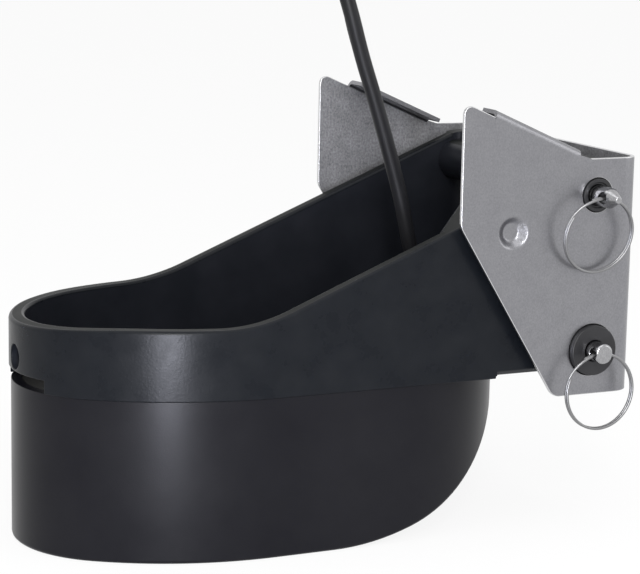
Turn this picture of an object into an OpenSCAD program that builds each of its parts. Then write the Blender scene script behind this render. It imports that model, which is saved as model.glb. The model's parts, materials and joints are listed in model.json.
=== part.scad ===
// Sonar transducer for a boat transom: potted lower body, open housing,
// folded steel bracket, two retaining pins with split rings, and its cable.
// Millimetres. X points forward to the transom, Y to the far side, Z up.

/* [Lower body] */
// Half of the width of the lower body
half_width = 56.4; // [54.4:0.1:58]
// Length of the tapering rear end
rear_length = 82.4; // [80:0.1:85]
// Radius of the rear tip in plan
tip_radius = 43.4; // [40:0.1:46]
// Length of the straight middle
mid_length = 58; // [56:0.5:60]
// Height of the lower body
body_height = 62; // [60:0.5:63]
// Radius of the bow under the front
bow_radius = 96; // [92:0.5:100]
// Where the bow leaves the flat bottom
bow_start = 9.4; // [6:0.1:12]
// Wall of the shell
shell_wall = 4; // [3.2:0.1:4.8]

/* [Inside] */
// Diameter of one low frequency disc
low_disc_d = 22; // [20:0.5:22.5]
// Height of one low frequency disc
low_disc_h = 24; // [20:0.5:26]
// Diameter of the high frequency disc
high_disc_d = 50; // [46:0.5:51]
// Height of the high frequency disc
high_disc_h = 10; // [8:0.5:12]
// Thickness of the backing pads
backing_h = 6; // [5:0.5:7]

/* [Housing] */
// How far the skirt stands out over the lower body
skirt_step = 0.8; // [0.5:0.1:1.2]
// Wall of the housing
housing_wall = 6.2; // [5:0.1:6.6]
// Floor of the housing
floor_h = 3.2; // [2.8:0.1:3.6]
// Height of the rim round the rear above the lower body
rim_height = 26.6; // [25:0.1:30]
// Height of the rim at the front above the lower body
rim_top = 83.8; // [82.8:0.1:84.4]
// Slope of the rim in degrees
rim_angle = 22.3; // [22:0.1:23.2]
// Radius where the slope begins
rim_radius = 75; // [60:1:85]
// Radius of the slight fall of the rim round the rear
dip_radius = 280; // [240:5:400]
// Front end of the housing ahead of the origin
housing_front = 125.5; // [125:0.1:127]
// Width of the drain slot in the rear
drain_width = 40; // [34:0.5:44]
// Diameter of the rear vent hole
vent_d = 9.6; // [8.6:0.1:10]

/* [Bracket] */
// Thickness of the folded sheet
sheet = 1.6; // [1.4:0.1:2]
// Space between housing and bracket on each side
side_gap = 5.2; // [4.8:0.1:5.8]
// Rear edge of the bracket plates
plate_rear = 55.9; // [54:0.1:57.5]
// Face of the bracket that lies on the transom
plate_front = 136; // [134.8:0.1:137]
// How far the bracket reaches down below the top of the lower body
plate_bottom = 7.6; // [5:0.1:9]
// Level upper edge of the bracket above the lower body
plate_level = 85.9; // [85.4:0.1:86.6]
// Upper corner of the bracket plates above the lower body
plate_top = 109; // [108:0.1:110]
// Height of the bend in the rear edge above the lower body
plate_bend = 61.5; // [59:0.5:65]
// Rear end of the lower edge
plate_toe = 99.2; // [98:0.1:100.4]
// Width of the stiffening folds
fold_width = 12; // [10:0.5:13]
// Diameter of the transom screw holes
screw_hole_d = 7; // [6:0.1:8]

/* [Pins and rings] */
// Distance of the pins ahead of the origin
pin_x = 116.1; // [115.2:0.1:116.4]
// Height of the lower pin above the lower body
pivot_z = 10.2; // [9.8:0.1:11.2]
// Height of the upper pin above the lower body
lock_z = 71.6; // [70:0.1:72.2]
// Diameter of both pins
pin_d = 8; // [7.6:0.1:8.2]
// How far the lower pin stands out past the near plate
pivot_tail = 9.9; // [9.6:0.1:11]
// How far the pointed upper pin stands out past the near plate
lock_tail = 15.4; // [15:0.1:16.4]
// Outer diameter of the split rings
ring_d = 31; // [29:0.5:33]
// Wire of the split rings
ring_wire = 1.1; // [0.9:0.1:1.2]
// Diameter of the lower bushing where it shows
pivot_bush_d = 20; // [19:0.1:21]
// Diameter of the upper bushing where it shows
lock_bush_d = 13; // [12.6:0.1:14]

/* [Cable] */
// Diameter of the cable
cable_d = 6.2; // [6:0.1:6.4]
// Inner radius of the coil
coil_inner = 43.2; // [42.6:0.1:43.8]

/* [Hidden] */

// Clearances used between pieces
run_gap = 0.2;
fit_gap = 0.3;
bore_gap = 0.4;

// How far cuts and long solids run past what they meet
past = 10;
far_off = 300;

// Plan of the rear end: a tip arc that runs on into two wide side arcs
rear_x = -15.6;
front_x = rear_x + mid_length;
tip_back = rear_length - tip_radius;
tip_x = rear_x - tip_back;
side_radius = (tip_back * tip_back + half_width * half_width - tip_radius * tip_radius)
    / (2 * (half_width - tip_radius));
join_x = tip_back / (side_radius - tip_radius);
join_y = (side_radius - half_width) / (side_radius - tip_radius);

// Levels of the housing, the pins and the bracket
floor_top = body_height + floor_h;
rim_low_z = body_height + rim_height;
rim_top_z = body_height + rim_top;
pivot_axis_z = body_height + pivot_z;
lock_axis_z = body_height + lock_z;
plate_low_z = body_height - plate_bottom;
plate_level_z = body_height + plate_level;
plate_top_z = body_height + plate_top;
plate_bend_z = body_height + plate_bend;
drain_h = 5;
drain_in = 9;
vent_gap = 0.8;
neck_lift = 1;
neck_x = 77.4;
chamfer_x = 78;
chamfer = 2;
wall_y = half_width + skirt_step;
cavity_inset = housing_wall - skirt_step;
front_corner = 10;
deck_h = 4;
deck_edge_x = 54;
deck_width = 28;
boss_d = 17;
pin_bore = pin_d + bore_gap;

// Side view of the rim
rim_low_x = -22.9;
dip_x = -62;
rim_run = (rim_top_z - rim_low_z) / tan(rim_angle);
rim_high_x = rim_low_x + rim_run;
low_cut = rim_radius * tan(rim_angle / 2);
high_radius = 15;
high_cut = high_radius * tan(rim_angle / 2);

// Bracket
plate_y = wall_y + side_gap;
outer_y = plate_y + sheet;
fold_radius = 3;
back_radius = 8;
fold_slope = 23.5;
fold_start = 70.7;
fold_end = 108.5;
fold_length = (fold_end - fold_start) / cos(fold_slope);
stub_end = 69.2;
stub_drop = (stub_end - plate_rear) * tan(fold_slope);
fold_lift = 3;
fold_z = plate_top_z + fold_lift - (fold_start - plate_rear) * tan(fold_slope);
fold_end_z = fold_z - (fold_end - fold_start) * tan(fold_slope);
corner_r = 3;
bend_r = 6;
toe_r = 5.5;
dimple_x = 78.9;
dimple_z = body_height + 58.5;
dimple_d = 14;
dimple_flat = 5.4;
dimple_depth = 2.8;
dimple_steps = 10;
screw_y = 40;
screw_low = body_height + 16;
screw_high = body_height + 66;

// Bushings, pins and rings
pivot_proud = 2.4;
lock_proud = 0.8;
pivot_flange_d = 22.4;
lock_flange_d = 18;
head_d = 12;
head_h = 3;
pivot_tip = 0.7;
pivot_tip_d = pin_d - 1.4;
lock_tip = 6;
lock_tip_d = 2.4;
pivot_hole_y = outer_y + 7.1;
lock_hole_y = outer_y + 8.6;
ring_hole_d = 4.8;
ring_mean = (ring_d - ring_wire) / 2;
ring_drop = 0.3;
ring_lean = 10;
ring_turn = 10;

// Elements inside
low_x = -54;
low_pitch = 23.5;
high_x = 11;
high_z = 14;
fill_top = body_height - 0.5;
lead_d = 4;
lead_z = body_height - 12;
sensor_x = 58;
sensor_y = 24;
sensor_z = 34;
sensor_d = 6;
sensor_h = 14;
screw_spots = [[-58, 26], [-58, -26], [28, 34], [28, -34]];
screw_d = 5;
screw_head_d = 9;
screw_head_h = 3;
screw_reach = 16;

// Gland and cable
gland_x = 71.5;
gland_top = floor_top + 26.8;
gland_flange_d = 24;
gland_stem_d = 12;
gland_neck_d = 9.6;
cable_sides = 12;
coil_x = 40;
coil_y = 128;
coil_columns = 4;
coil_layers = 6;
coil_width = coil_columns * cable_d;
coil_lift = 1.4;
coil_high = coil_layers * cable_d;
coil_outer = coil_inner + coil_width;
tie_width = 6;
tie_wall = 1.1;
plug_y = 61;
boot_x = coil_x + 32;
boot_length = 20;
plug_body_x = boot_x + boot_length;
plug_body_length = 26;
plug_body_d = 18;
plug_z = plug_body_d / 2;
plug_nose_d = 13.4;
plug_nose_length = 13;
plug_nose_x = plug_body_x + plug_body_length + plug_nose_length;
seal_wire = 1.8;
seal_x = plug_nose_x - 5;
contact_d = 1.8;
contact_r = 4;
contact_depth = 8;

// Hand chosen points of the cable: up out of the housing, over, and down to the coil
cable_route = [[gland_x, 0, gland_top - 1], [70.7, 0, gland_top + 6],
    [67.8, 0, gland_top + 14.4], [63.3, 0, gland_top + 33], [57.1, 0, gland_top + 53.5],
    [50.4, 0, gland_top + 73.9], [44.4, 0, gland_top + 91], [38.5, 0, gland_top + 110],
    [34.2, 4, 219], [32.8, 14, 235], [36.5, 28, 246], [46, 43, 250], [58, 58, 244],
    [67, 68, 229], [71.5, 72, 212], [74.1, 72.8, 197.4], [80.9, 72.8, 175.1], [87.1, 72.8, 157.9],
    [92.6, 74, 137], [96.8, 76.5, 114], [99.6, 81, 90], [101, 88, 70], [102.2, 97.5, 55],
    [103.3, 108, 45], [104.3, 118, 38.8], [104.9, coil_y, 35.6]];
tail_route = [[coil_x - 6, coil_y - coil_outer + 3.3, 4.5], [coil_x + 4, coil_y - coil_outer + 2.8, 4.7],
    [coil_x + 13, plug_y + 0.9, 5.6], [coil_x + 20, plug_y + 0.3, 7.2],
    [coil_x + 27, plug_y, 8.6], [boot_x + 1, plug_y, plug_z]];
cable_side = [0.87, -0.45, 0];

// Helpers for swept tubes
function unit(v) = v / norm(v);
function blend(a, b, c, d, t) = 0.5 * (2 * b + (c - a) * t + (2 * a - 5 * b + 4 * c - d) * t * t
    + (3 * b - a - 3 * c + d) * t * t * t);
function clip(i, n) = min(max(i, 0), n);
function smooth_path(p, k) = let (n = len(p) - 1) [for (i = [0 : n * k])
    let (s = min(floor(i / k), n - 1), t = i / k - s)
    blend(p[clip(s - 1, n)], p[s], p[s + 1], p[clip(s + 2, n)], t)];
function heading(q, i) = let (n = len(q) - 1) unit(q[clip(i + 1, n)] - q[clip(i - 1, n)]);
function tube_ring(q, i, r, side) = let (t = heading(q, i), u = unit(side - (side * t) * t),
    v = cross(t, u)) [for (j = [0 : cable_sides - 1])
    q[i] + r * (cos(j * 360 / cable_sides) * u + sin(j * 360 / cable_sides) * v)];

// Points on an arc, for small corner rounds
function arc(c, r, a, b, n) = [for (i = [0 : n]) let (w = a + (b - a) * i / n)
    [c[0] + r * cos(w), c[1] + r * sin(w)]];

module tube(p, r, k, side) {
    q = smooth_path(p, k);
    m = len(q);
    points = [for (i = [0 : m - 1]) each tube_ring(q, i, r, side)];
    walls = [for (i = [0 : m - 2]) for (j = [0 : cable_sides - 1])
        let (a = i * cable_sides + j, b = i * cable_sides + (j + 1) % cable_sides)
        [a, a + cable_sides, b + cable_sides, b]];
    first = [for (j = [0 : cable_sides - 1]) j];
    last = [for (j = [cable_sides - 1 : -1 : 0]) (m - 1) * cable_sides + j];
    polyhedron(points = points, faces = concat(walls, [first, last]), convexity = 6);
}

// Rear part of the plan, moved out by o
module rear_plan(o) {
    intersection() {
        translate([tip_x, 0])
            circle(r = tip_radius + o, $fn = 96);
        polygon([[tip_x, 0], [tip_x - join_x * far_off, -join_y * far_off],
            [tip_x - 2 * far_off, 0], [tip_x - join_x * far_off, join_y * far_off]]);
    }
    for (s = [-1, 1])
        intersection() {
            translate([rear_x, -s * (side_radius - half_width)])
                circle(r = side_radius + o, $fn = 160);
            polygon([[rear_x, 0], [rear_x, s * far_off],
                [tip_x - join_x * far_off, s * join_y * far_off], [tip_x, 0]]);
        }
}

// Whole plan of the lower body, moved out by o
module body_plan(o) {
    rear_plan(o);
    translate([rear_x, -half_width - o])
        square([mid_length, 2 * (half_width + o)]);
    intersection() {
        translate([front_x, 0])
            circle(r = half_width + o, $fn = 120);
        translate([front_x, -far_off])
            square([far_off, 2 * far_off]);
    }
}

// Plan of the housing, moved out by o from the lower body
module housing_plan(o, front, corner) {
    rear_plan(o);
    translate([rear_x, -half_width - o])
        square([front - corner - rear_x, 2 * (half_width + o)]);
    translate([front - corner, -half_width - o + corner])
        square([corner, 2 * (half_width + o - corner)]);
    for (s = [-1, 1])
        intersection() {
            translate([front - corner, s * (half_width + o - corner)])
                circle(r = corner, $fn = 48);
            translate([front - corner, s > 0 ? half_width + o - corner : -half_width - o])
                square([corner, corner]);
        }
}

// Side view under which the lower body lies, moved in by o, with its own bottom
module bow_profile(o, bottom) {
    translate([-far_off, bottom])
        square([far_off + bow_start, bow_radius - bottom]);
    intersection() {
        translate([bow_start, bow_radius])
            circle(r = bow_radius - o, $fn = 180);
        translate([bow_start, 0])
            square([far_off, bow_radius]);
    }
}

module along_y(reach) {
    rotate([90, 0, 0])
        translate([0, 0, -reach])
            linear_extrude(2 * reach)
                children();
}

module body_solid(o, bottom, top, bow_o) {
    intersection() {
        linear_extrude(top)
            body_plan(-o);
        along_y(half_width + 2 * past)
            bow_profile(bow_o, bottom);
    }
}

// Side view of everything below the rim
module rim_profile() {
    low_a = [rim_low_x - low_cut, rim_low_z];
    low_b = [rim_low_x + low_cut * cos(rim_angle), rim_low_z + low_cut * sin(rim_angle)];
    high_a = [rim_high_x - high_cut * cos(rim_angle), rim_top_z - high_cut * sin(rim_angle)];
    high_b = [rim_high_x + high_cut, rim_top_z];
    intersection() {
        translate([dip_x, rim_low_z - dip_radius])
            circle(r = dip_radius, $fn = 360);
        translate([-far_off, 0])
            square([far_off + dip_x, rim_low_z + 1]);
    }
    polygon([[dip_x, 0], [low_a[0], 0], low_a, [dip_x, rim_low_z]]);
    difference() {
        polygon([[low_a[0], 0], [low_b[0], 0], low_b, low_a]);
        translate([low_a[0], rim_low_z + rim_radius])
            circle(r = rim_radius, $fn = 180);
    }
    polygon([[low_b[0], 0], [high_a[0], 0], high_a, low_b]);
    polygon([[high_a[0], 0], [high_b[0], 0], high_b, high_a]);
    intersection() {
        translate([high_b[0], rim_top_z - high_radius])
            circle(r = high_radius, $fn = 72);
        translate([high_a[0], high_a[1] - 3])
            square([high_b[0] - high_a[0], 10]);
    }
    polygon([[high_b[0], 0], [far_off, 0], [far_off, rim_top_z], high_b]);
}

// A cylinder along Y from y0 to y1 at a pin
module rod(x, z, d, y0, y1) {
    translate([x, y0, z])
        rotate([-90, 0, 0])
            cylinder(h = y1 - y0, d = d, $fn = 72);
}

module low_discs(grow, z0, h) {
    translate([low_x, 0, z0])
        cylinder(h = h, d = low_disc_d + grow, $fn = 60);
    for (i = [0 : 5])
        translate([low_x + low_pitch * cos(60 * i), low_pitch * sin(60 * i), z0])
            cylinder(h = h, d = low_disc_d + grow, $fn = 60);
}

module lead_run(grow) {
    translate([low_x, 0, shell_wall + low_disc_h + backing_h])
        cylinder(h = lead_z - shell_wall - low_disc_h - backing_h, d = lead_d + grow, $fn = 24);
    translate([low_x - lead_d / 2 - grow / 2, 0, lead_z])
        rotate([0, 90, 0])
            cylinder(h = gland_x - low_x + lead_d + grow, d = lead_d + grow, $fn = 24);
    translate([high_x, 0, high_z + high_disc_h + backing_h])
        cylinder(h = lead_z - high_z - high_disc_h - backing_h, d = lead_d + grow, $fn = 24);
    translate([gland_x, 0, lead_z])
        cylinder(h = fill_top - lead_z, d = lead_d + grow, $fn = 24);
}

module transducer_shell() {
    color([0.13, 0.13, 0.14])
        difference() {
            body_solid(0, 0, body_height, 0);
            body_solid(shell_wall, shell_wall, body_height + 1, shell_wall);
        }
}

module low_freq_elements() {
    color([0.80, 0.78, 0.70])
        low_discs(0, shell_wall, low_disc_h);
}

module high_freq_element() {
    color([0.80, 0.78, 0.70])
        translate([high_x, 0, high_z])
            cylinder(h = high_disc_h, d = high_disc_d, $fn = 90);
}

module element_backing() {
    color([0.55, 0.42, 0.28]) {
        low_discs(0, shell_wall + low_disc_h, backing_h);
        translate([high_x, 0, high_z + high_disc_h])
            cylinder(h = backing_h, d = high_disc_d, $fn = 90);
    }
}

module temperature_sensor() {
    color([0.72, 0.55, 0.25])
        translate([sensor_x, sensor_y, sensor_z])
            cylinder(h = sensor_h, d = sensor_d, $fn = 36);
}

module element_leads() {
    color([0.75, 0.30, 0.20])
        lead_run(0);
}

module potting_fill() {
    color([0.20, 0.20, 0.19])
        difference() {
            body_solid(shell_wall + fit_gap, shell_wall + fit_gap, fill_top, shell_wall + fit_gap);
            low_discs(2 * fit_gap, shell_wall - 1, low_disc_h + backing_h + 1);
            translate([high_x, 0, high_z])
                cylinder(h = high_disc_h + backing_h, d = high_disc_d + 2 * fit_gap, $fn = 90);
            translate([sensor_x, sensor_y, sensor_z])
                cylinder(h = sensor_h, d = sensor_d + 2 * fit_gap, $fn = 36);
            lead_run(2 * fit_gap);
            for (p = screw_spots)
                translate([p[0], p[1], floor_top - screw_reach - 0.5])
                    cylinder(h = screw_reach + 10, d = screw_d + 2 * fit_gap, $fn = 36);
        }
}

// Open tub with its cross tubes, corner deck, drain, vent and stepped underside
module housing() {
    color([0.16, 0.17, 0.19])
        difference() {
            intersection() {
                union() {
                    difference() {
                        translate([0, 0, body_height])
                            linear_extrude(rim_top_z)
                                housing_plan(skirt_step, housing_front, front_corner);
                        translate([0, 0, floor_top])
                            linear_extrude(rim_top_z)
                                housing_plan(-cavity_inset, housing_front - housing_wall,
                                    front_corner / 2);
                    }
                    rod(pin_x, pivot_axis_z, boss_d, -half_width + 1, half_width - 1);
                    rod(pin_x, lock_axis_z, boss_d, -half_width + 1, half_width - 1);
                    corner_deck();
                }
                along_y(half_width + 2 * past)
                    rim_profile();
            }
            neck_cut();
            rod(pin_x, pivot_axis_z, pin_bore, -far_off, far_off);
            rod(pin_x, lock_axis_z, pin_bore, -far_off, far_off);
            translate([rear_x - rear_length - past, -drain_width / 2, body_height - 1])
                cube([past + housing_wall + drain_in, drain_width, drain_h + 1]);
            translate([rear_x - rear_length - past, 0, body_height + drain_h + vent_gap + vent_d / 2])
                rotate([0, 90, 0])
                    cylinder(h = 2 * past, d = vent_d, $fn = 48);
            translate([gland_x, 0, body_height - 1])
                cylinder(h = floor_h + 2, d = gland_stem_d + 2 * fit_gap, $fn = 48);
            for (p = screw_spots)
                translate([p[0], p[1], body_height - 1])
                    cylinder(h = floor_h + 2, d = screw_d + 2 * fit_gap, $fn = 36);
        }
}

// Land in the near front corner, in the slope of the rim
module corner_deck() {
    intersection() {
        translate([0, 0, floor_top])
            linear_extrude(rim_top_z)
                polygon([[deck_edge_x, -half_width + 2], [deck_edge_x, -half_width + cavity_inset + 1],
                    [deck_edge_x + deck_width, -half_width + cavity_inset + 1 + deck_width],
                    [housing_front - 2, -half_width + cavity_inset + 1 + deck_width],
                    [housing_front - 2, -half_width + 2]]);
        along_y(half_width - 1)
            difference() {
                rim_profile();
                translate([0, -deck_h])
                    rim_profile();
            }
    }
}

// Raised and chamfered underside ahead of the skirt
module neck_cut() {
    difference() {
        translate([neck_x, -far_off, body_height - 1])
            cube([far_off, 2 * far_off, neck_lift + 1]);
        translate([0, 0, body_height - 2])
            linear_extrude(neck_lift + 5)
                body_plan(-1);
    }
    for (s = [-1, 1])
        translate([chamfer_x, 0, 0])
            rotate([90, 0, 90])
                linear_extrude(far_off)
                    polygon([[s * (wall_y + 1), body_height + neck_lift - 1],
                        [s * (wall_y + 1), body_height + neck_lift + chamfer + 1],
                        [s * (wall_y - chamfer - 1), body_height + neck_lift - 1]]);
}

module floor_screws() {
    color([0.62, 0.63, 0.65])
        for (p = screw_spots)
            translate([p[0], p[1], floor_top])
                difference() {
                    union() {
                        cylinder(h = screw_head_h, d1 = screw_head_d, d2 = screw_head_d - 2, $fn = 40);
                        translate([0, 0, -screw_reach])
                            cylinder(h = screw_reach + 1, d = screw_d, $fn = 36);
                    }
                    translate([0, 0, 1])
                        for (a = [0, 90])
                            rotate(a)
                                translate([-2.5, -0.6, 0])
                                    cube([5, 1.2, 4]);
                }
}

// Side view of one bracket plate without its stiffening fold
module plate_profile() {
    stub = plate_top_z - stub_drop;
    edge = fold_z - fold_radius / cos(fold_slope) - 1;
    nib = fold_end - 1.5;
    nib_edge = edge - (nib - fold_start) * tan(fold_slope);
    lean = atan2(plate_bend_z - plate_low_z, plate_toe - plate_rear);
    turn = 90 - lean;
    bend_in = bend_r * tan(turn / 2);
    toe_in = toe_r * tan(lean / 2);
    polygon(concat(
        arc([plate_rear + corner_r, plate_top_z - corner_r * tan(fold_slope)
            - corner_r * (1 / cos(fold_slope))], corner_r, 180, 90 - fold_slope, 6),
        [[stub_end, stub], [stub_end, edge - 1.5], [fold_start, edge - 1.5], [fold_start, edge],
            [nib, nib_edge], [nib, fold_end_z - 1.5], [fold_end + 4.2, plate_level_z],
            [plate_front, plate_level_z], [plate_front, plate_low_z]],
        arc([plate_toe + toe_in, plate_low_z + toe_r], toe_r, 270, 180 + turn, 5),
        arc([plate_rear + bend_r, plate_bend_z + bend_in], bend_r, 180 + turn, 180, 5)));
}

// Half section of a pressed dimple: a smooth cosine wall down to a flat
module dimple_section(r_out, r_flat, depth) {
    polygon(concat([[0, -1]], [[r_out, -1]],
        [for (i = [0 : dimple_steps]) let (t = i / dimple_steps)
            [r_out - (r_out - r_flat) * t, depth * (1 - cos(180 * t)) / 2]],
        [[0, depth]]));
}

// Back plate with its two rounded folds, seen from above
module channel_plan() {
    inner = back_radius - sheet;
    for (s = [-1, 1]) {
        translate([0, s > 0 ? plate_y : -outer_y])
            square([plate_front - back_radius, sheet]);
        intersection() {
            translate([plate_front - back_radius, s * (outer_y - back_radius)])
                difference() {
                    circle(r = back_radius, $fn = 48);
                    circle(r = inner, $fn = 48);
                }
            translate([plate_front - back_radius, s > 0 ? outer_y - back_radius : -outer_y])
                square([back_radius, back_radius]);
        }
    }
    translate([plate_front - sheet, -outer_y + back_radius])
        square([sheet, 2 * (outer_y - back_radius)]);
}

// Cross section of one stiffening fold
module fold_section() {
    translate([outer_y - fold_width, -sheet])
        square([fold_width - fold_radius, sheet]);
    intersection() {
        translate([outer_y - fold_radius, -fold_radius])
            difference() {
                circle(r = fold_radius, $fn = 48);
                circle(r = fold_radius - sheet, $fn = 48);
            }
        translate([outer_y - fold_radius, -fold_radius])
            square([fold_radius, fold_radius]);
    }
    translate([plate_y, -fold_radius - 4])
        square([sheet, 4]);
}

// One folded sheet: two side plates, back plate, folds, dimples and holes
module bracket() {
    color([0.60, 0.60, 0.62])
        difference() {
            union() {
                intersection() {
                    translate([0, 0, plate_low_z - past])
                        linear_extrude(plate_top_z)
                            channel_plan();
                    along_y(outer_y + past)
                        plate_profile();
                }
                for (s = [0, 1])
                    mirror([0, s, 0])
                        translate([fold_start, 0, fold_z])
                            rotate([0, fold_slope, 0])
                                rotate([90, 0, 90])
                                    linear_extrude(fold_length)
                                        fold_section();
                for (s = [0, 1])
                    mirror([0, s, 0])
                        translate([dimple_x, plate_y, dimple_z])
                            rotate([90, 0, 0])
                                rotate_extrude($fn = 60)
                                    dimple_section(dimple_d / 2 + 0.6, dimple_flat / 2 + 1, dimple_depth);
            }
            for (s = [0, 1])
                mirror([0, s, 0])
                    translate([dimple_x, outer_y, dimple_z])
                        rotate([90, 0, 0])
                            rotate_extrude($fn = 60)
                                dimple_section(dimple_d / 2, dimple_flat / 2, dimple_depth);
            rod(pin_x, pivot_axis_z, pivot_bush_d + 2 * fit_gap, -far_off, far_off);
            rod(pin_x, lock_axis_z, lock_bush_d + 2 * fit_gap, -far_off, far_off);
            for (y = [-screw_y, screw_y])
                for (z = [screw_low, screw_high])
                    translate([plate_front - past / 2, y, z])
                        rotate([0, 90, 0])
                            cylinder(h = past, d = screw_hole_d, $fn = 48);
        }
}

// Shouldered bushing at the near plate, mirrored for the far one
module bushing(z, d, flange_d, proud, cup) {
    difference() {
        union() {
            rod(pin_x, z, d, -outer_y - proud, -wall_y - run_gap);
            rod(pin_x, z, flange_d, -plate_y, -wall_y - run_gap);
        }
        rod(pin_x, z, pin_bore, -outer_y - proud - 1, -wall_y + 1);
        rod(pin_x, z, cup, -outer_y - proud - 1, -outer_y - proud + 0.8);
    }
}

module pivot_bushing_near() {
    color([0.10, 0.10, 0.11])
        bushing(pivot_axis_z, pivot_bush_d, pivot_flange_d, pivot_proud, pin_bore);
}

module pivot_bushing_far() {
    color([0.10, 0.10, 0.11])
        mirror([0, 1, 0])
            bushing(pivot_axis_z, pivot_bush_d, pivot_flange_d, pivot_proud, pin_bore);
}

module lock_bushing_near() {
    color([0.10, 0.10, 0.11])
        bushing(lock_axis_z, lock_bush_d, lock_flange_d, lock_proud, pin_d + 2);
}

module lock_bushing_far() {
    color([0.10, 0.10, 0.11])
        mirror([0, 1, 0])
            bushing(lock_axis_z, lock_bush_d, lock_flange_d, lock_proud, pin_bore);
}

// Headed pin with a tapered tail and a cross hole for its ring
module headed_pin(z, proud, tail, tip, tip_d, hole_y) {
    tip_y = -outer_y - tail;
    difference() {
        union() {
            rod(pin_x, z, pin_d, tip_y + tip, outer_y + proud + 1);
            translate([pin_x, tip_y, z])
                rotate([-90, 0, 0])
                    cylinder(h = tip, d1 = tip_d, d2 = pin_d, $fn = 72);
            rod(pin_x, z, head_d, outer_y + proud, outer_y + proud + head_h);
        }
        translate([pin_x - pin_d, -hole_y, z])
            rotate([0, 90, 0])
                cylinder(h = 2 * pin_d, d = ring_hole_d, $fn = 40);
    }
}

module pivot_pin() {
    color([0.70, 0.70, 0.72])
        headed_pin(pivot_axis_z, pivot_proud, pivot_tail, pivot_tip, pivot_tip_d, pivot_hole_y);
}

module lock_pin() {
    color([0.70, 0.70, 0.72])
        headed_pin(lock_axis_z, lock_proud, lock_tail, lock_tip, lock_tip_d, lock_hole_y);
}

// Split ring of two touching turns, hanging in a cross hole
module split_ring(z, hole_y, lean, turn) {
    translate([pin_x, -hole_y, z])
        rotate([lean, 0, 0])
            translate([0, 0, -ring_drop])
                rotate([0, turn, 0])
                    translate([0, 0, -ring_mean])
                        rotate([90, 0, 0])
                            rotate_extrude($fn = 120)
                                for (s = [-1, 1])
                                    translate([ring_mean, s * 0.46 * ring_wire])
                                        circle(d = ring_wire, $fn = 32);
}

module pivot_ring() {
    color([0.72, 0.72, 0.74])
        split_ring(pivot_axis_z, pivot_hole_y, 0, 0);
}

// The upper ring leans on the plate and hangs a little to the rear
module lock_ring() {
    color([0.72, 0.72, 0.74])
        split_ring(lock_axis_z, lock_hole_y, ring_lean, ring_turn);
}

// Moulded strain relief through the housing floor
module cable_gland() {
    color([0.09, 0.09, 0.10])
        translate([gland_x, 0, 0]) {
            translate([0, 0, fill_top])
                cylinder(h = floor_top - fill_top + 1, d = gland_stem_d, $fn = 48);
            translate([0, 0, floor_top])
                cylinder(h = 3.6, d = gland_flange_d, $fn = 60);
            translate([0, 0, floor_top + 3.6])
                cylinder(h = gland_top - floor_top - 3.6, d1 = 15, d2 = gland_neck_d, $fn = 60);
        }
}

module cable() {
    color([0.15, 0.15, 0.16])
        tube(cable_route, cable_d / 2, 2, cable_side);
}

// The rest of the cable as one neat coil
module cable_coil() {
    color([0.15, 0.15, 0.16])
        translate([coil_x, coil_y, coil_lift])
            rotate_extrude($fn = 144)
                translate([coil_inner, 0])
                    square([coil_width, coil_high]);
}

module cable_tail() {
    color([0.15, 0.15, 0.16])
        tube(tail_route, cable_d / 2, 2, [0, 1, 0]);
}

module coil_ties() {
    color([0.08, 0.08, 0.08])
        for (a = [35, 150, 245])
            translate([coil_x, coil_y, coil_lift + coil_high / 2])
                rotate(a)
                    translate([coil_inner + coil_width / 2, 0, 0])
                        difference() {
                            cube([coil_width + 2 * (tie_wall + fit_gap), tie_width,
                                coil_high + 2 * (tie_wall + fit_gap)], center = true);
                            cube([coil_width + 2 * fit_gap, tie_width + 2,
                                coil_high + 2 * fit_gap], center = true);
                        }
}

module plug_turn(x, length, d1, d2) {
    translate([x, plug_y, plug_z])
        rotate([0, 90, 0])
            cylinder(h = length, d1 = d1, d2 = d2, $fn = 60);
}

module connector_boot() {
    color([0.09, 0.09, 0.10])
        plug_turn(boot_x, boot_length, 9, 13.5);
}

// Moulded plug with grip grooves and a nose for the seal and the contacts
module connector_body() {
    color([0.12, 0.12, 0.13])
        difference() {
            union() {
                plug_turn(plug_body_x, plug_body_length, plug_body_d, plug_body_d);
                plug_turn(plug_nose_x - plug_nose_length - 1, plug_nose_length + 1,
                    plug_nose_d, plug_nose_d);
            }
            for (a = [0 : 30 : 330])
                translate([plug_body_x + 6, plug_y, plug_z])
                    rotate([a + 15, 0, 0])
                        translate([0, -1, plug_body_d / 2 - 0.7])
                            cube([plug_body_length - 12, 2, 3]);
            translate([seal_x, plug_y, plug_z])
                rotate([0, 90, 0])
                    rotate_extrude($fn = 60)
                        translate([plug_nose_d / 2 - 1.4, -1.2])
                            square([4, 2.4]);
            contact_ring(contact_depth + 1, contact_d + 2 * fit_gap);
        }
}

// Six round places for contacts, from the end of the nose inward
module contact_ring(depth, d) {
    for (a = [0 : 60 : 300])
        translate([plug_nose_x - contact_depth, plug_y, plug_z])
            rotate([a, 0, 0])
                translate([0, 0, contact_r])
                    rotate([0, 90, 0])
                        cylinder(h = depth, d = d, $fn = 24);
}

module connector_seal() {
    color([0.07, 0.07, 0.07])
        translate([seal_x, plug_y, plug_z])
            rotate([0, 90, 0])
                rotate_extrude($fn = 72)
                    translate([plug_nose_d / 2 - 1.2 + seal_wire / 2, 0])
                        circle(d = seal_wire, $fn = 28);
}

module connector_insert() {
    color([0.78, 0.64, 0.30])
        difference() {
            contact_ring(contact_depth, contact_d);
            translate([1, 0, 0])
                contact_ring(contact_depth, contact_d / 2);
        }
}

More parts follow.
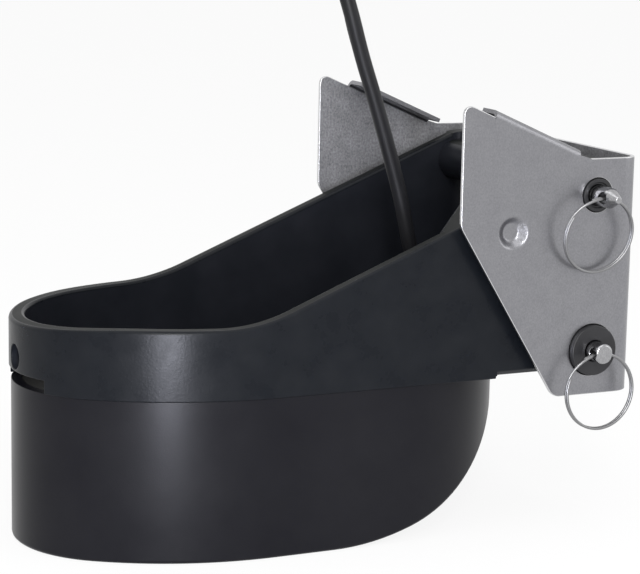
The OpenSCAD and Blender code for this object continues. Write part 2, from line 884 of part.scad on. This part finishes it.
transducer_shell();
low_freq_elements();
high_freq_element();
element_backing();
temperature_sensor();
element_leads();
potting_fill();
housing();
floor_screws();
bracket();
pivot_bushing_near();
pivot_bushing_far();
lock_bushing_near();
lock_bushing_far();
pivot_pin();
lock_pin();
pivot_ring();
lock_ring();
cable_gland();
cable();
cable_coil();
cable_tail();
coil_ties();
connector_boot();
connector_body();
connector_seal();
connector_insert();
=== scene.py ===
import json
import math

import bmesh
import bpy
import numpy as np
from mathutils import Matrix, Vector

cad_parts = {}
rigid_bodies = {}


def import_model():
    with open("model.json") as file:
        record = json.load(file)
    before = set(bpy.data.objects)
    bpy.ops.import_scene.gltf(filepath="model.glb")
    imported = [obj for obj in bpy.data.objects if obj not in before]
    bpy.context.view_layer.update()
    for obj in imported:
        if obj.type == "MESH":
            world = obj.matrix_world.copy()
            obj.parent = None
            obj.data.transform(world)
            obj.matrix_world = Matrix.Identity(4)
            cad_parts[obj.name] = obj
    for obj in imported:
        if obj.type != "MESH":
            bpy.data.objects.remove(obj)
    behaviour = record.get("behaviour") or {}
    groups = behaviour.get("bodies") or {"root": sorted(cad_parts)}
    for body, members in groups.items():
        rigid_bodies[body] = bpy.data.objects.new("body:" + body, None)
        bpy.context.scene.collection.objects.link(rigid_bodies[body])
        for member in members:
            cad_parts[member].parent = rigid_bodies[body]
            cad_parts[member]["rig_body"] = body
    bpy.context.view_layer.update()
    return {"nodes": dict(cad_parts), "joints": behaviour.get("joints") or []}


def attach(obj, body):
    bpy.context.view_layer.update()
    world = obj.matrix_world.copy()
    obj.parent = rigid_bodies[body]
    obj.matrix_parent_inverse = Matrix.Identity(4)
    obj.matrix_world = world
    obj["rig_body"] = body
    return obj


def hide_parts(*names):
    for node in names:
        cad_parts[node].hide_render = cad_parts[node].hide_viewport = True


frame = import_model()
nodes = frame["nodes"]
scene = bpy.context.scene
scene.view_settings.view_transform = "Standard"
print("frame loaded:", len(nodes), "nodes")


def addObject(name, data):
    made = bpy.data.objects.new(name, data)
    scene.collection.objects.link(made)
    return made


# camera at the place and angle worked out from the straight edges of the picture

photoView = {
    "place": (-0.35712, -0.80663, 0.25506),
    "ahead": (0.44889, 0.87437, -0.18434),
    "roll": 1.43,                  # degrees
    "focal": 2275,                 # pixels
    "middle": (384.64, 298.44),    # where the line of sight meets the picture, pixels
    "picture": (640, 574),
    "sensor": 36,                  # millimetres
    "near": 0.05,
    "far": 50,
}


def setCamera(view):
    ahead = Vector(view["ahead"]).normalized()
    side = ahead.cross(Vector((0, 0, 1))).normalized()
    top = side.cross(ahead)
    roll = math.radians(view["roll"])
    sideNow = side * math.cos(roll) + top * math.sin(roll)
    topNow = top * math.cos(roll) - side * math.sin(roll)
    wide, high = view["picture"]
    lens = bpy.data.cameras.new("photoCamera")
    lens.sensor_fit = "HORIZONTAL"
    lens.sensor_width = view["sensor"]
    lens.lens = view["focal"] / wide * view["sensor"]
    lens.shift_x = (wide / 2 - view["middle"][0]) / wide
    lens.shift_y = (view["middle"][1] - high / 2) / wide
    lens.clip_start = view["near"]
    lens.clip_end = view["far"]
    holder = addObject("photoCamera", lens)
    turn = Matrix((sideNow, topNow, -ahead)).transposed().to_4x4()
    holder.matrix_world = Matrix.Translation(view["place"]) @ turn
    scene.camera = holder


setCamera(photoView)
print("camera set")


# shader helpers

def newMaterial(name):
    material = bpy.data.materials.new(name)
    material.use_nodes = True
    tree = material.node_tree
    tree.nodes.clear()
    out = tree.nodes.new("ShaderNodeOutputMaterial")
    skin = tree.nodes.new("ShaderNodeBsdfPrincipled")
    tree.links.new(skin.outputs[0], out.inputs[0])
    return material, tree, skin


def addNode(tree, kind, **values):
    made = tree.nodes.new(kind)
    for key, value in values.items():
        if key in made.inputs:
            made.inputs[key].default_value = value
        else:
            setattr(made, key, value)
    return made


# where a Mix node has its sockets for A, B and the result, for each kind of data
mixPlaces = {"FLOAT": (2, 3, 0), "RGBA": (6, 7, 2)}


def mixOf(tree, kind, share, first, second):
    made = addNode(tree, "ShaderNodeMix", data_type=kind)
    firstPlace, secondPlace, result = mixPlaces[kind]
    if isinstance(share, float):
        made.inputs[0].default_value = share
    else:
        tree.links.new(share, made.inputs[0])
    tree.links.new(first, made.inputs[firstPlace])
    tree.links.new(second, made.inputs[secondPlace])
    return made.outputs[result]


# a grain takes the scales of a fine and a wide pattern, two colours and two roughnesses
def newGrain(name, fine, wide):
    group = bpy.data.node_groups.new(name, "ShaderNodeTree")
    inputs = {"Place": "Vector", fine: "Float", wide: "Float", "Dark": "Color", "Light": "Color",
        "Smooth": "Float", "Rough": "Float"}
    outputs = {"Color": "Color", "Gloss": "Float", "Height": "Float"}
    for way, sockets in (("INPUT", inputs), ("OUTPUT", outputs)):
        for label, kind in sockets.items():
            group.interface.new_socket(label, in_out=way, socket_type="NodeSocket" + kind)
    return group, group.nodes.new("NodeGroupInput"), group.nodes.new("NodeGroupOutput")


def grainNoise(group, place, scale, look):
    noise = addNode(group, "ShaderNodeTexNoise", **look)
    group.links.new(place, noise.inputs["Vector"])
    group.links.new(scale, noise.inputs["Scale"])
    return noise.outputs["Fac"]


# the pattern's usual range is spread to the whole of 0 to 1, which leads from dark to light
# and from one roughness to the other
def shadeGrain(group, start, end, pattern, spread, glossFrom, glossTo):
    even = addNode(group, "ShaderNodeMapRange", **{"From Min": spread[0], "From Max": spread[1]})
    group.links.new(pattern, even.inputs["Value"])
    part = even.outputs[0]
    color = mixOf(group, "RGBA", part, start.outputs["Dark"], start.outputs["Light"])
    gloss = mixOf(group, "FLOAT", part, start.outputs[glossFrom], start.outputs[glossTo])
    group.links.new(color, end.inputs["Color"])
    group.links.new(gloss, end.inputs["Gloss"])


mouldLook = {
    "speckle": {"Detail": 3, "Roughness": 0.6},
    "patch": {"Detail": 5, "Roughness": 0.62},
    "spread": (0.3, 0.7),
}


# moulded grain: fine speckle for the bump, wide patches for colour and gloss
def buildMouldGrain(look):
    group, start, end = newGrain("mouldGrain", "Speckle", "Patch")
    place = start.outputs["Place"]
    speckle = grainNoise(group, place, start.outputs["Speckle"], look["speckle"])
    patch = grainNoise(group, place, start.outputs["Patch"], look["patch"])
    shadeGrain(group, start, end, patch, look["spread"], "Smooth", "Rough")
    group.links.new(speckle, end.inputs["Height"])
    return group


rolledLook = {
    "streak": {"Detail": 4, "Roughness": 0.7},
    "cloud": {"Detail": 6, "Roughness": 0.68},
    "stretch": (1, 1, 0.75),      # the streaks are a little longer upwards
    "cloudShare": 0.3,
    "spread": (0.34, 0.66),
}


# rolled grain: short streaks along one direction with a cloudy mottle over them
def buildRolledGrain(look):
    group, start, end = newGrain("rolledGrain", "Streak", "Cloud")
    place = start.outputs["Place"]
    stretch = addNode(group, "ShaderNodeMapping", Scale=look["stretch"])
    group.links.new(place, stretch.inputs["Vector"])
    streak = grainNoise(group, stretch.outputs[0], start.outputs["Streak"], look["streak"])
    cloud = grainNoise(group, place, start.outputs["Cloud"], look["cloud"])
    both = mixOf(group, "FLOAT", look["cloudShare"], streak, cloud)
    shadeGrain(group, start, end, both, look["spread"], "Rough", "Smooth")
    group.links.new(both, end.inputs["Height"])
    return group


mouldGrain = buildMouldGrain(mouldLook)
rolledGrain = buildRolledGrain(rolledLook)


def useGrain(tree, group, **values):
    made = tree.nodes.new("ShaderNodeGroup")
    made.node_tree = group
    for key, value in values.items():
        made.inputs[key].default_value = value
    return made


def finishWith(tree, skin, grain, bumpDepth, bumpStrength):
    place = addNode(tree, "ShaderNodeTexCoord")
    tree.links.new(place.outputs["Object"], grain.inputs["Place"])
    tree.links.new(grain.outputs["Color"], skin.inputs["Base Color"])
    tree.links.new(grain.outputs["Gloss"], skin.inputs["Roughness"])
    bump = addNode(tree, "ShaderNodeBump", Strength=bumpStrength, Distance=bumpDepth)
    tree.links.new(grain.outputs["Height"], bump.inputs["Height"])
    tree.links.new(bump.outputs[0], skin.inputs["Normal"])


def mouldedPlastic(name, dark, light, smooth, rough, level,
        speckle=1800, patch=22, bump=0.00006, strength=0.35):
    material, tree, skin = newMaterial(name)
    grain = useGrain(tree, mouldGrain, Speckle=speckle, Patch=patch, Dark=(*dark, 1),
        Light=(*light, 1), Smooth=smooth, Rough=rough)
    finishWith(tree, skin, grain, bump, strength)
    skin.inputs["Specular IOR Level"].default_value = level
    return material


def rolledMetal(name, dark, light, smooth, rough,
        streak=1300, cloud=110, bump=0.00003, strength=0.3, metal=1):
    material, tree, skin = newMaterial(name)
    grain = useGrain(tree, rolledGrain, Streak=streak, Cloud=cloud, Dark=(*dark, 1),
        Light=(*light, 1), Smooth=smooth, Rough=rough)
    finishWith(tree, skin, grain, bump, strength)
    skin.inputs["Metallic"].default_value = metal
    return material


# dark and light end of the colour, least and most roughness, level of the plain reflection
plastics = {
    "shellBlack": dict(dark=(0.003, 0.003, 0.005), light=(0.006, 0.006, 0.008),
        smooth=0.28, rough=0.34, level=0.17),
    "housingBlack": dict(dark=(0.004, 0.005, 0.007), light=(0.007, 0.008, 0.010),
        smooth=0.25, rough=0.34, level=0.132, speckle=1000, patch=85, bump=0.00009),
    "tubBlack": dict(dark=(0.009, 0.010, 0.013), light=(0.013, 0.014, 0.018),
        smooth=0.3, rough=0.4, level=0.12, patch=55),
    "rimBlack": dict(dark=(0.006, 0.007, 0.007), light=(0.009, 0.010, 0.010),
        smooth=0.44, rough=0.52, level=0.08),
    "bushingBlack": dict(dark=(0.012, 0.012, 0.013), light=(0.019, 0.019, 0.021),
        smooth=0.32, rough=0.44, level=0.34),
    "glandRubber": dict(dark=(0.008, 0.008, 0.009), light=(0.014, 0.014, 0.015),
        smooth=0.5, rough=0.62, level=0.25),
    "cableBlack": dict(dark=(0.007, 0.007, 0.008), light=(0.011, 0.011, 0.013),
        smooth=0.38, rough=0.48, level=0.22),
    "tieBlack": dict(dark=(0.006, 0.006, 0.006), light=(0.012, 0.012, 0.012),
        smooth=0.3, rough=0.42, level=0.35),
    "plugBlack": dict(dark=(0.010, 0.010, 0.011), light=(0.018, 0.018, 0.019),
        smooth=0.36, rough=0.48, level=0.32),
    "pottingGrey": dict(dark=(0.012, 0.012, 0.011), light=(0.018, 0.018, 0.017),
        smooth=0.4, rough=0.55, level=0.2),
    "elementCeramic": dict(dark=(0.50, 0.47, 0.38), light=(0.62, 0.59, 0.50),
        smooth=0.4, rough=0.55, level=0.4),
    "backingCork": dict(dark=(0.16, 0.09, 0.045), light=(0.34, 0.22, 0.12),
        smooth=0.7, rough=0.85, level=0.2, speckle=900, patch=260, bump=0.0003),
    "leadRed": dict(dark=(0.36, 0.05, 0.03), light=(0.48, 0.08, 0.05),
        smooth=0.4, rough=0.5, level=0.35),
}

metals = {
    "bracketSteel": dict(dark=(0.215, 0.215, 0.23), light=(0.30, 0.30, 0.316),
        smooth=0.28, rough=0.36, streak=1700, bump=0.00008, strength=0.8),
    # a darker copy of the same steel for inward and rear faces and the tops of the folds: painted shade,
    # with a strong mottle painted as sparkle of grazing light
    "shadedSteel": dict(dark=(0.075, 0.075, 0.08), light=(0.27, 0.27, 0.283),
        smooth=0.44, rough=0.56, streak=1250, cloud=140, bump=0.00014, strength=1, metal=0.3),
    # a lighter copy of the same steel for cut edges and rounded edges: a painted highlight
    "edgeHighlightSteel": dict(dark=(0.50, 0.50, 0.51), light=(0.68, 0.68, 0.69),
        smooth=0.24, rough=0.36),
    "pinSteel": dict(dark=(0.30, 0.30, 0.31), light=(0.42, 0.42, 0.43),
        smooth=0.14, rough=0.24, streak=1500, cloud=160),
    "ringSteel": dict(dark=(0.21, 0.21, 0.215), light=(0.28, 0.28, 0.285),
        smooth=0.34, rough=0.42, streak=3600, cloud=90, bump=0.000004),
    "screwSteel": dict(dark=(0.42, 0.42, 0.43), light=(0.55, 0.55, 0.56),
        smooth=0.24, rough=0.4, streak=1500, cloud=160),
    "contactBrass": dict(dark=(0.55, 0.38, 0.14), light=(0.72, 0.54, 0.24),
        smooth=0.22, rough=0.36, streak=1500, cloud=160),
}

finishes = {name: mouldedPlastic(name, **look) for name, look in plastics.items()}
finishes.update({name: rolledMetal(name, **look) for name, look in metals.items()})
print("finishes made:", len(finishes))


def paint(piece, *names):
    piece.data.materials.clear()
    for name in names:
        piece.data.materials.append(finishes[name])


# CAD solids whose own shape is right keep it and get a finish

nodeFinish = {
    "low_freq_elements": "elementCeramic",
    "high_freq_element": "elementCeramic",
    "element_backing": "backingCork",
    "temperature_sensor": "contactBrass",
    "element_leads": "leadRed",
    "potting_fill": "pottingGrey",
    "floor_screws": "screwSteel",
    "coil_ties": "tieBlack",
    "connector_seal": "glandRubber",
    "connector_insert": "contactBrass",
}

for node, finish in nodeFinish.items():
    paint(nodes[node], finish)
print("solids painted:", len(nodeFinish))


# a face rule gives the number of a face's finish, a share rule how much of the rounding an edge gets

def plainFace(face):
    return 0


def evenShare(middle, length):
    return 1


keel = {
    "seamStart": 0.06,       # height from which the seam under the housing counts
    "seamShare": 0.15,
}


# the flat bottom and the bow are rounded, the seam under the housing hardly
def keelShare(middle, length):
    return 1 if middle.z < keel["seamStart"] else keel["seamShare"]


tub = {
    "rimHeight": 0.08,       # faces that look up are rim above it and floor below it
    "upward": 0.85,          # least rise of the normal of a face that looks up
    "seamShare": 0.3,
    "platesStart": 0.098,    # forward of this the housing runs between the bracket plates
}


# 1 for the rim, which looks up, 2 for the floor and the walls that face the middle, 0 outside
def tubFace(face):
    middle = face.calc_center_median()
    if face.normal.z > tub["upward"]:
        return 1 if middle.z > tub["rimHeight"] else 2
    return 2 if face.normal.x * middle.x + face.normal.y * middle.y < 0 else 0


# full at the rim, little at the seams below it, none between the bracket plates
def rimShare(middle, length):
    if middle.z < tub["rimHeight"]:
        return tub["seamShare"]
    return 1 if middle.x < tub["platesStart"] else 0


sheet = {
    "foldHeight": 0.14,
    "foldReach": (0.0685, 0.1135),
    "foldTop": 0.8,          # least rise of the normal on top of a fold
    "edgeWidth": 0.0019,     # a cut edge is narrower than this
    "edgeTurn": 0.02,        # and faces sideways less than this
    "inward": 0.5,           # least share of a normal that counts as facing in or to the rear
    "shortStep": 0.00045,
}


# the folded strips along the tops of the side plates
def inFold(place):
    rear, front = sheet["foldReach"]
    return place.z > sheet["foldHeight"] and rear < place.x < front


# 1 for cut edges, which are long, about as narrow as the sheet and square to a plate, and take a painted
# highlight,
# 2 for the inner faces and the tops of the folds, which take painted shade on a coarser grain, 0 for the
# outer ones
def sheetFace(face):
    middle = face.calc_center_median()
    if inFold(middle):
        return 2 if abs(face.normal.z) > sheet["foldTop"] else 0
    rimLength = sum(edge.calc_length() for edge in face.edges)
    narrow = face.calc_area() < sheet["edgeWidth"] * rimLength / 2
    if narrow and abs(face.normal.y) < sheet["edgeTurn"]:
        return 1
    facesIn = face.normal.y * middle.y < -sheet["inward"] * abs(middle.y)
    facesRear = face.normal.x < -sheet["inward"]
    return 2 if facesIn or facesRear else 0


# the folds and very short steps stay sharp
def sheetShare(middle, length):
    return 0 if inFold(middle) or length < sheet["shortStep"] else 1


softening = {
    "merge": 2e-6,
    "flatAngle": 0.3,        # facets that meet at less than this are joined, degrees
    "shadeWeight": 50,
    "oldLayers": ("custom_normal", "sharp_edge", "sharp_face"),
}


# a copy of a CAD solid with its edges rounded: doubles merged, flat facets joined, then a bevel
# on the edges that turn by more than an angle, in degrees
def softEdges(node, body, slot, width, looks,
        steps=2, angle=30, share=evenShare, rule=plainFace, roundLook=0):
    piece = addObject(node + "_skin", nodes[node].data.copy())
    paint(piece, *looks)         # before the faces choose among them, since this clears their choice
    for layer in list(piece.data.attributes):
        if layer.name in softening["oldLayers"]:
            piece.data.attributes.remove(layer)
    work = bmesh.new()
    work.from_mesh(piece.data)
    bmesh.ops.remove_doubles(work, verts=work.verts, dist=softening["merge"])
    bmesh.ops.dissolve_limit(work, angle_limit=math.radians(softening["flatAngle"]),
        verts=work.verts, edges=work.edges)
    for face in work.faces:
        face.smooth = True
        face.material_index = rule(face)
    weight = work.edges.layers.float.new("bevel_weight_edge")
    for edge in work.edges:
        if edge.calc_face_angle(0) > math.radians(angle):
            middle = (edge.verts[0].co + edge.verts[1].co) / 2
            edge[weight] = share(middle, edge.calc_length())
            edge.smooth = edge[weight] > 0
    work.to_mesh(piece.data)
    work.free()
    rounding = piece.modifiers.new("rounding", "BEVEL")
    rounding.width = width
    rounding.segments = steps
    rounding.limit_method = "WEIGHT"
    rounding.use_clamp_overlap = False
    rounding.loop_slide = False
    rounding.material = roundLook    # which of the piece's looks the rounded edges take
    shade = piece.modifiers.new("evenShade", "WEIGHTED_NORMAL")    # wide flats keep their own normal
    shade.mode = "FACE_AREA"
    shade.weight = softening["shadeWeight"]
    shade.keep_sharp = True
    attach(piece, body)
    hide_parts(node)
    return piece


softPieces = {
    "transducer_shell": dict(slot="shell_black", width=0.0016, steps=3, share=keelShare,
        looks=["shellBlack"]),
    "housing": dict(slot="housing_black", width=0.0014, steps=3, share=rimShare, rule=tubFace,
        looks=["housingBlack", "rimBlack", "tubBlack"]),
    # the rounded edges of the bracket take its second look, the lighter edge steel, as a painted highlight
    "bracket": dict(slot="bracket_steel", width=0.0003, share=sheetShare, rule=sheetFace,
        looks=["bracketSteel", "edgeHighlightSteel", "shadedSteel"], roundLook=1),
    "pivot_bushing_near": dict(slot="bushing_black", width=0.0005, looks=["bushingBlack"]),
    "pivot_bushing_far": dict(slot="bushing_black", width=0.0005, looks=["bushingBlack"]),
    "lock_bushing_near": dict(slot="bushing_black", width=0.0003, looks=["bushingBlack"]),
    "lock_bushing_far": dict(slot="bushing_black", width=0.0003, looks=["bushingBlack"]),
    "pivot_pin": dict(slot="pin_steel", width=0.0003, looks=["pinSteel"]),
    "lock_pin": dict(slot="pin_steel", width=0.0003, looks=["pinSteel"]),
    "cable_gland": dict(slot="gland_rubber", width=0.0008, steps=3, angle=20, looks=["glandRubber"]),
    "connector_boot": dict(slot="gland_rubber", width=0.0006, looks=["glandRubber"]),
    "connector_body": dict(slot="plug_black", width=0.0003, looks=["plugBlack"]),
}

skins = {node: softEdges(node, "transducer", **shape) for node, shape in softPieces.items()}
print("rounded pieces:", len(skins))


# an S from 0 to 1 that starts and ends level
def easeOver(part):
    part = np.clip(part, 0, 1)
    return part * part * (3 - 2 * part)


# a round wire carried along a line: each ring of the tube stands square to the line,
# turned from a fixed side
def sweptWire(name, line, radius, side, sides=14):
    ahead = np.gradient(line, axis=0)
    ahead /= np.linalg.norm(ahead, axis=1, keepdims=True)
    across = side - (side * ahead).sum(1, keepdims=True) * ahead
    across /= np.linalg.norm(across, axis=1, keepdims=True)
    other = np.cross(ahead, across)
    turn = np.arange(sides) * 2 * np.pi / sides
    points = line[:, None] + radius * (np.cos(turn)[None, :, None] * across[:, None]
        + np.sin(turn)[None, :, None] * other[:, None])
    count = len(line)
    row, column = np.meshgrid(np.arange(count - 1), np.arange(sides), indexing="ij")
    after = (column + 1) % sides
    walls = np.stack([row * sides + column, row * sides + after,
        (row + 1) * sides + after, (row + 1) * sides + column], -1).reshape(-1, 4)
    faces = walls.tolist()
    faces.append(list(range(sides))[::-1])
    faces.append(list(range((count - 1) * sides, count * sides)))
    mesh = bpy.data.meshes.new(name)
    mesh.from_pydata(points.reshape(-1, 3).tolist(), [], faces)
    mesh.polygons.foreach_set("use_smooth", np.ones(len(faces), bool))
    mesh.update()
    return addObject(name, mesh)


splitRing = {
    "meanRadius": 0.01495,
    "wire": 0.0011,
    "drop": 0.0003,      # how far the wire sits below the middle of its hole
    "step": 0.8,         # radians over which the wire crosses from turn to turn
    "cross": 2.4,        # where it crosses, radians from +X towards +Z
    "endGap": 0.42,      # share of the step that each end of the wire keeps from the middle of the crossing
    "pitch": 0.98,       # distance of the two turns, in wires
    "points": 240,
    # lean to the plate and turn to the rear, degrees
    "hangs": {"pivot_ring": (0, 0), "lock_ring": (10, 10)},
}


# two touching turns of wire: radius stays, the sideways place runs from one turn to the other in an S
def ringLine(shape, hole, lean, turned):
    radius = shape["meanRadius"]
    start = shape["cross"] + shape["endGap"] * shape["step"]
    stop = shape["cross"] + 4 * np.pi - shape["endGap"] * shape["step"]
    turn = np.linspace(start, stop, shape["points"])
    part = easeOver((turn - shape["cross"] - 2 * np.pi) / shape["step"] + 0.5)
    sway = (part - 0.5) * shape["wire"] * shape["pitch"]
    flat = np.stack([radius * np.cos(turn), sway, radius * (np.sin(turn) - 1)], 1)
    tilt = Matrix.Rotation(math.radians(lean), 4, "X") @ Matrix.Translation((0, 0, -shape["drop"])) \
        @ Matrix.Rotation(math.radians(turned), 4, "Y")
    tilt = np.array(Matrix.Translation(hole) @ tilt)
    return flat @ tilt[:3, :3].T + tilt[:3, 3], tilt[:3, 1]


swing = {joint["child"]: joint["pos_m"] for joint in frame["joints"]}
for node, (lean, turned) in splitRing["hangs"].items():
    body = nodes[node]["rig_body"]
    line, across = ringLine(splitRing, swing[body], lean, turned)
    ring = sweptWire(node + "_wire", line, splitRing["wire"] / 2, across[None])
    paint(ring, "ringSteel")
    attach(ring, body)
    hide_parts(node)
print("split rings wound")


# lengths in millimetres, apart from the whole length and the exit, which are in metres
cableRun = {
    "route": [(71.5, 0, 91), (70.7, 0, 98), (67.8, 0, 106.4), (63.3, 0, 125), (57.1, 0, 145.5),
        (50.4, 0, 165.9), (44.4, 0, 183), (38.5, 0, 202), (34.2, 4, 219), (32.8, 14, 235),
        (36.5, 28, 246), (46, 43, 250), (58, 58, 244), (67, 68, 229), (71.5, 72, 212),
        (74.1, 72.8, 197.4), (80.9, 72.8, 175.1), (87.1, 72.8, 157.9), (92.6, 74, 137),
        (96.8, 76.5, 114), (99.6, 81, 90), (101, 88, 70), (102.2, 97.5, 55), (103.3, 108, 45),
        (104.3, 118, 38.8)],
    "tail": [(44, 62.8, 4.7), (53, 61.9, 5.6), (60, 61.3, 7.2), (67, 61, 8.6), (73, 61, 9)],
    "diameter": 6.2,
    "length": 9.0,
    "exit": (0.0715, 0, 0.092),
    "coilMiddle": (40, 128),
    "coilInner": 43.2,
    "coilLift": 1.4,
    "columns": 4,
    "layers": 6,
    "perTurn": 16,
    "lastTurn": 0.75,          # share of the last turn that is wound
    "easing": 6,               # the last of so many parts of a turn leads over to the next
    "curveSteps": 5,
    "roundSteps": 5,
}


# each turn keeps one radius and height, and in its last part eases over to the place of the next one
def coilLine(run):
    wide = run["diameter"]
    places = []
    for layer in range(run["layers"])[::-1]:
        across = list(range(run["columns"]))
        if (run["layers"] - layer) % 2:
            across.reverse()
        height = run["coilLift"] + wide * (layer + 0.5)
        places += [(run["coilInner"] + wide * (column + 0.5), height) for column in across]
    places = np.array(places)
    last = len(places) - 1
    steps = int((last + run["lastTurn"]) * run["perTurn"])
    turn = np.arange(steps + 1) / run["perTurn"]
    whole = np.minimum(turn.astype(int), last)
    easeStart = (run["easing"] - 1) / run["easing"]
    part = easeOver((turn - whole - easeStart) * run["easing"])[:, None]
    place = places[whole] * (1 - part) + places[np.minimum(whole + 1, last)] * part
    angle = turn * 2 * np.pi
    return np.stack([run["coilMiddle"][0] + place[:, 0] * np.cos(angle),
        run["coilMiddle"][1] + place[:, 0] * np.sin(angle), place[:, 1]], 1)


def layCable(run):
    stretches = [np.array(run["route"], float), coilLine(run), np.array(run["tail"], float)]
    line = np.concatenate(stretches) / 1000
    data = bpy.data.curves.new("cable_run", "CURVE")
    data.dimensions = "3D"
    spline = data.splines.new("BEZIER")
    spline.bezier_points.add(len(line) - 1)
    spline.bezier_points.foreach_set("co", line.ravel())
    for point in spline.bezier_points:
        point.handle_left_type = "AUTO"
        point.handle_right_type = "AUTO"
    spline.resolution_u = run["curveSteps"]
    data.bevel_depth = run["diameter"] / 2000
    data.bevel_resolution = run["roundSteps"]
    data.use_fill_caps = True
    piece = addObject("cable_run", data)
    paint(piece, "cableBlack")
    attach(piece, "transducer")
    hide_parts("cable", "cable_coil", "cable_tail")


layCable(cableRun)
print("cable laid")


# floor, light and background

studio = {
    "white": (1, 1, 1, 1),
    "floorSize": 14,
    "floorColor": (0.92, 0.92, 0.92, 1),
    "floorRough": 0.9,
    "floorLevel": 0.1,
    "floorGlow": 0.87,          # share of plain white that the camera sees in the floor
    "worldLight": 0.7,
    "lamps": {
        "topBox": {"place": (-0.1, -0.25, 1.35), "aim": (0.03, 0, 0.08),
            "size": (1.3, 1.1), "power": 4.5},
        "tallStrip": {"place": (-0.50, -1.22, 0.56), "aim": (-0.05, -0.05, 0.3),
            "size": (0.2, 1.1), "power": 16},
        "lowStrip": {"place": (-0.182, -0.365, 0.03), "aim": (-0.075, -0.05, 0.03),
            "size": (0.036, 0.056), "power": 0.9, "color": (0.86, 0.88, 1)},
        "rightBox": {"place": (1.15, -0.65, 0.55), "aim": (0.06, 0, 0.09),
            "size": (0.7, 0.9), "power": 2.5},
    },
}


# one for rays that show the background: from the camera, a mirror or a clear piece
def seenDirectly(tree):
    path = addNode(tree, "ShaderNodeLightPath")
    first = addNode(tree, "ShaderNodeMath", operation="MAXIMUM")
    both = addNode(tree, "ShaderNodeMath", operation="MAXIMUM")
    tree.links.new(path.outputs["Is Camera Ray"], first.inputs[0])
    tree.links.new(path.outputs["Is Glossy Ray"], first.inputs[1])
    tree.links.new(first.outputs[0], both.inputs[0])
    tree.links.new(path.outputs["Is Transmission Ray"], both.inputs[1])
    return both.outputs[0]


def mixShaders(tree, share, first, second, out):
    mix = addNode(tree, "ShaderNodeMixShader")
    tree.links.new(share, mix.inputs[0])
    tree.links.new(first.outputs[0], mix.inputs[1])
    tree.links.new(second.outputs[0], mix.inputs[2])
    tree.links.new(mix.outputs[0], out.inputs[0])


def buildFloor(room):
    half = room["floorSize"] / 2
    corners = [(-half, -half, 0), (half, -half, 0), (half, half, 0), (-half, half, 0)]
    mesh = bpy.data.meshes.new("floor")
    mesh.from_pydata(corners, [], [(0, 1, 2, 3)])
    floor = addObject("floor", mesh)
    material, tree, skin = newMaterial("paleFloor")
    skin.inputs["Base Color"].default_value = room["floorColor"]
    skin.inputs["Roughness"].default_value = room["floorRough"]
    skin.inputs["Specular IOR Level"].default_value = room["floorLevel"]
    glow = addNode(tree, "ShaderNodeEmission", Color=room["white"], Strength=1)
    share = addNode(tree, "ShaderNodeMath", operation="MULTIPLY")
    share.inputs[1].default_value = room["floorGlow"]
    tree.links.new(seenDirectly(tree), share.inputs[0])
    out = next(n for n in tree.nodes if n.type == "OUTPUT_MATERIAL")
    mixShaders(tree, share.outputs[0], skin, glow, out)
    mesh.materials.append(material)


def buildWorld(room):
    world = bpy.data.worlds.new("whiteRoom")
    scene.world = world
    world.use_nodes = True
    tree = world.node_tree
    tree.nodes.clear()
    out = tree.nodes.new("ShaderNodeOutputWorld")
    seen = addNode(tree, "ShaderNodeBackground", Color=room["white"], Strength=1)
    lit = addNode(tree, "ShaderNodeBackground", Color=room["white"], Strength=room["worldLight"])
    mixShaders(tree, seenDirectly(tree), lit, seen, out)


def hangLamps(room):
    for name, lamp in room["lamps"].items():
        light = bpy.data.lights.new(name, "AREA")
        light.shape = "RECTANGLE"
        light.size, light.size_y = lamp["size"]
        light.energy = lamp["power"]
        light.color = lamp.get("color", room["white"][:3])
        holder = addObject(name, light)
        ahead = Vector(lamp["aim"]) - Vector(lamp["place"])
        turn = ahead.to_track_quat("-Z", "Y").to_matrix().to_4x4()
        holder.matrix_world = Matrix.Translation(lamp["place"]) @ turn


buildFloor(studio)
buildWorld(studio)
hangLamps(studio)
print("studio lit")
